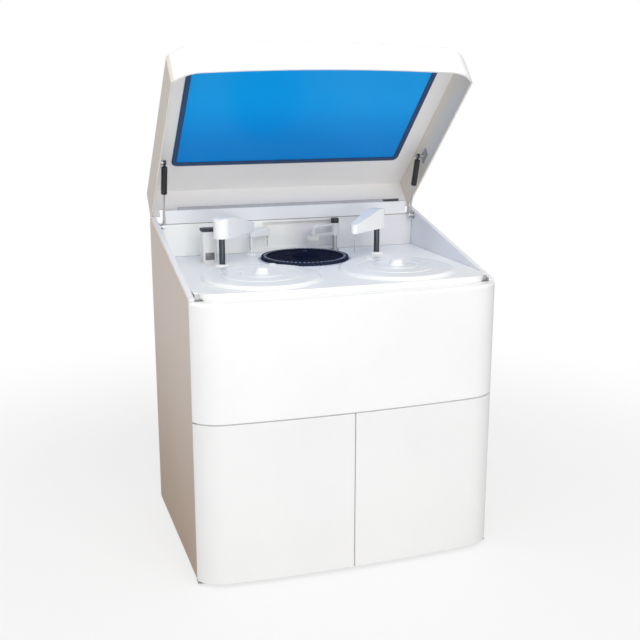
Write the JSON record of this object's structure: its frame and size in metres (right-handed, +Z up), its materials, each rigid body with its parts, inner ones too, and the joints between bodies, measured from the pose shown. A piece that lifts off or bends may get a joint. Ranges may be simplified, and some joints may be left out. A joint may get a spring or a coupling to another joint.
{
  "type": "floor-standing chemistry analyzer",
  "caption": "Clinical chemistry analyzer: a bow-fronted floor cabinet with doors, a tray-shaped lid with a tinted window, covered carousels, a reaction ring and dispensing arms.",
  "frame": {"origin": "on the floor, at the middle of the bounding box with the lid open as in the picture", "axes": "+Z up, -Y towards the doors, +X to the right of a person facing the doors"},
  "size_m": [0.95, 0.7941, 1.5673],
  "materials": {
    "cover_white": "satin",
    "door_white": "satin",
    "side_taupe": "fine textured paint",
    "lid_white": "satin",
    "deck_white": "satin",
    "azure_pane": "tinted acrylic",
    "seal_rubber": "matt",
    "frame_grey": "satin",
    "zinc": "zinc plated",
    "bright_rod": "polished",
    "black_tube": "gloss black",
    "dark_shaft": "dark satin",
    "needle": "polished",
    "rotor_navy": "satin",
    "bath_grey": "satin",
    "cuvette_clear": "clear",
    "wall_white": "satin",
    "ledge_white": "satin",
    "reader_white": "satin",
    "panel_grey": "powder coat",
    "pan_grey": "powder coat",
    "plate_alu": "satin",
    "foot_black": "matt",
    "motor_black": "satin",
    "black_plastic": "matt",
    "bottle_white": "natural",
    "tube_clear": "clear",
    "carriage_dark": "satin",
    "knob_white": "satin",
    "rotor_grey": "satin"
  },
  "bodies": {
    "cabinet": {"chassis_frame": "frame_grey", "leveling_feet": "foot_black", "floor_pan": "pan_grey", "mid_pan": "plate_alu", "door_pivots": "zinc", "side_panel_left": "side_taupe", "side_panel_right": "side_taupe", "front_cover": "cover_white", "rear_panel": "panel_grey", "deck_plate": "deck_white", "rear_housing": "wall_white", "rear_ledge": "ledge_white", "lid_hinge_bases": "zinc", "stay_brackets": "zinc", "mains_inlet": "black_plastic", "fluid_ports": "bottle_white", "drive_motors": "motor_black", "reaction_bath": "bath_grey", "arm_guides": "zinc", "wash_wells": "knob_white", "wash_post": "dark_shaft", "barcode_reader": "reader_white", "power_supply": "panel_grey", "syringe_pumps": "tube_clear", "fluid_bottles": "bottle_white"},
    "power_switch": {"power_rocker": "black_plastic"},
    "left_door": {"door_left": "door_white"},
    "right_door": {"door_right": "door_white"},
    "lid": {"lid_shell": "lid_white", "lid_window": "azure_pane", "window_seal": "seal_rubber", "lid_hinge_leaves": "zinc", "stay_studs": "zinc"},
    "left_stay_cylinder": {"stay_cylinder_left": "black_tube"},
    "right_stay_cylinder": {"stay_cylinder_right": "black_tube"},
    "left_stay_rod": {"stay_rod_left": "bright_rod"},
    "right_stay_rod": {"stay_rod_right": "bright_rod"},
    "sample_carousel": {"sample_rotor": "rotor_grey", "sample_tubes": "tube_clear"},
    "sample_lid": {"sample_cover": "knob_white"},
    "reagent_carousel": {"reagent_rotor": "rotor_grey", "reagent_bottles": "bottle_white"},
    "reagent_lid": {"reagent_cover": "knob_white"},
    "reaction_ring": {"reaction_rotor": "rotor_navy", "cuvettes": "cuvette_clear"},
    "sample_turret": {"sample_collar": "knob_white"},
    "sample_dispenser": {"sample_shaft": "dark_shaft", "sample_arm": "knob_white", "sample_probe": "needle"},
    "reagent_turret": {"reagent_collar": "knob_white"},
    "reagent_dispenser": {"reagent_shaft": "dark_shaft", "reagent_arm": "knob_white", "reagent_probe": "needle"},
    "mixer_turret": {"mixer_collar": "knob_white"},
    "mixer_head": {"mixer_arm": "knob_white"},
    "paddle": {"mixer_paddle": "needle"},
    "wash_lift_body": {"wash_carriage": "carriage_dark", "wash_head": "bottle_white"},
    "sample_pump": {"sample_plunger": "bright_rod"},
    "reagent_pump": {"reagent_plunger": "bright_rod"}
  },
  "joints": [
    {"name": "lid_hinge", "type": "hinge", "parent": "cabinet", "child": "lid", "pos_m": [0, 0.31395, 1.008], "axis": [1, 0, 0], "range_deg": [0, 55.8]},
    {"name": "left_stay_swing", "type": "hinge", "parent": "lid", "child": "left_stay_cylinder", "pos_m": [-0.44, 0.18963, 1.2049], "axis": [1, 0, 0], "range_deg": [-0.5, 9.53]},
    {"name": "left_stay_slide", "type": "slide", "parent": "left_stay_cylinder", "child": "left_stay_rod", "axis": [0, 0.2867, -0.958], "range_m": [-0.05016, 0.0005]},
    {"name": "right_stay_swing", "type": "hinge", "parent": "lid", "child": "right_stay_cylinder", "pos_m": [0.44, 0.18963, 1.2049], "axis": [1, 0, 0], "range_deg": [-0.5, 9.53]},
    {"name": "right_stay_slide", "type": "slide", "parent": "right_stay_cylinder", "child": "right_stay_rod", "axis": [0, 0.2867, -0.958], "range_m": [-0.05016, 0.0005]},
    {"name": "left_door_hinge", "type": "hinge", "parent": "cabinet", "child": "left_door", "pos_m": [-0.462, -0.33905, 0], "axis": [0, 0, 1], "range_deg": [-100, 0]},
    {"name": "right_door_hinge", "type": "hinge", "parent": "cabinet", "child": "right_door", "pos_m": [0.462, -0.33905, 0], "axis": [0, 0, 1], "range_deg": [0, 100]},
    {"name": "sample_spin", "type": "hinge", "parent": "cabinet", "child": "sample_carousel", "pos_m": [-0.218, -0.16405, 0], "axis": [0, 0, 1], "continuous": true},
    {"name": "reagent_spin", "type": "hinge", "parent": "cabinet", "child": "reagent_carousel", "pos_m": [0.218, -0.16405, 0], "axis": [0, 0, 1], "continuous": true},
    {"name": "reaction_spin", "type": "hinge", "parent": "cabinet", "child": "reaction_ring", "pos_m": [0, 0.09995, 0], "axis": [0, 0, 1], "continuous": true},
    {"name": "sample_cover_lift", "type": "slide", "parent": "cabinet", "child": "sample_lid", "axis": [0, 0, 1], "range_m": [0, 0.06]},
    {"name": "reagent_cover_lift", "type": "slide", "parent": "cabinet", "child": "reagent_lid", "axis": [0, 0, 1], "range_m": [0, 0.06]},
    {"name": "sample_swing", "type": "hinge", "parent": "cabinet", "child": "sample_turret", "pos_m": [-0.29, 0.05295, 0], "axis": [0, 0, 1], "range_deg": [-68.53, 6]},
    {"name": "sample_lift", "type": "slide", "parent": "sample_turret", "child": "sample_dispenser", "axis": [0, 0, 1], "range_m": [-0.045, 0]},
    {"name": "reagent_swing", "type": "hinge", "parent": "cabinet", "child": "reagent_turret", "pos_m": [0.262, 0.11795, 0], "axis": [0, 0, 1], "range_deg": [-14.34, 18.18]},
    {"name": "reagent_lift", "type": "slide", "parent": "reagent_turret", "child": "reagent_dispenser", "axis": [0, 0, 1], "range_m": [-0.045, 0]},
    {"name": "mixer_swing", "type": "hinge", "parent": "cabinet", "child": "mixer_turret", "pos_m": [-0.15081, 0.21887, 0], "axis": [0, 0, 1], "range_deg": [-38, 0]},
    {"name": "mixer_lift", "type": "slide", "parent": "mixer_turret", "child": "mixer_head", "axis": [0, 0, 1], "range_m": [-0.025, 0]},
    {"name": "mixer_spin", "type": "hinge", "parent": "mixer_head", "child": "paddle", "pos_m": [-0.08973, 0.24111, 0], "axis": [0, 0, 1], "continuous": true},
    {"name": "wash_lift", "type": "slide", "parent": "cabinet", "child": "wash_lift_body", "axis": [0, 0, 1], "range_m": [-0.025, 0]},
    {"name": "sample_pump_stroke", "type": "slide", "parent": "cabinet", "child": "sample_pump", "axis": [0, 0, 1], "range_m": [0, 0.04]},
    {"name": "reagent_pump_stroke", "type": "slide", "parent": "cabinet", "child": "reagent_pump", "axis": [0, 0, 1], "range_m": [0, 0.04]},
    {"name": "power_rocker_tilt", "type": "hinge", "parent": "cabinet", "child": "power_switch", "pos_m": [0.346, 0.31295, 0.14], "axis": [1, 0, 0], "range_deg": [-12, 0]}
  ],
  "couplings": [
    {"joint": "left_stay_swing", "follows": "lid_hinge", "ratio": 0.16175},
    {"joint": "left_stay_slide", "follows": "lid_hinge", "m_per_rad": -0.050996},
    {"joint": "right_stay_swing", "follows": "lid_hinge", "ratio": 0.16175},
    {"joint": "right_stay_slide", "follows": "lid_hinge", "m_per_rad": -0.050996}
  ]
}
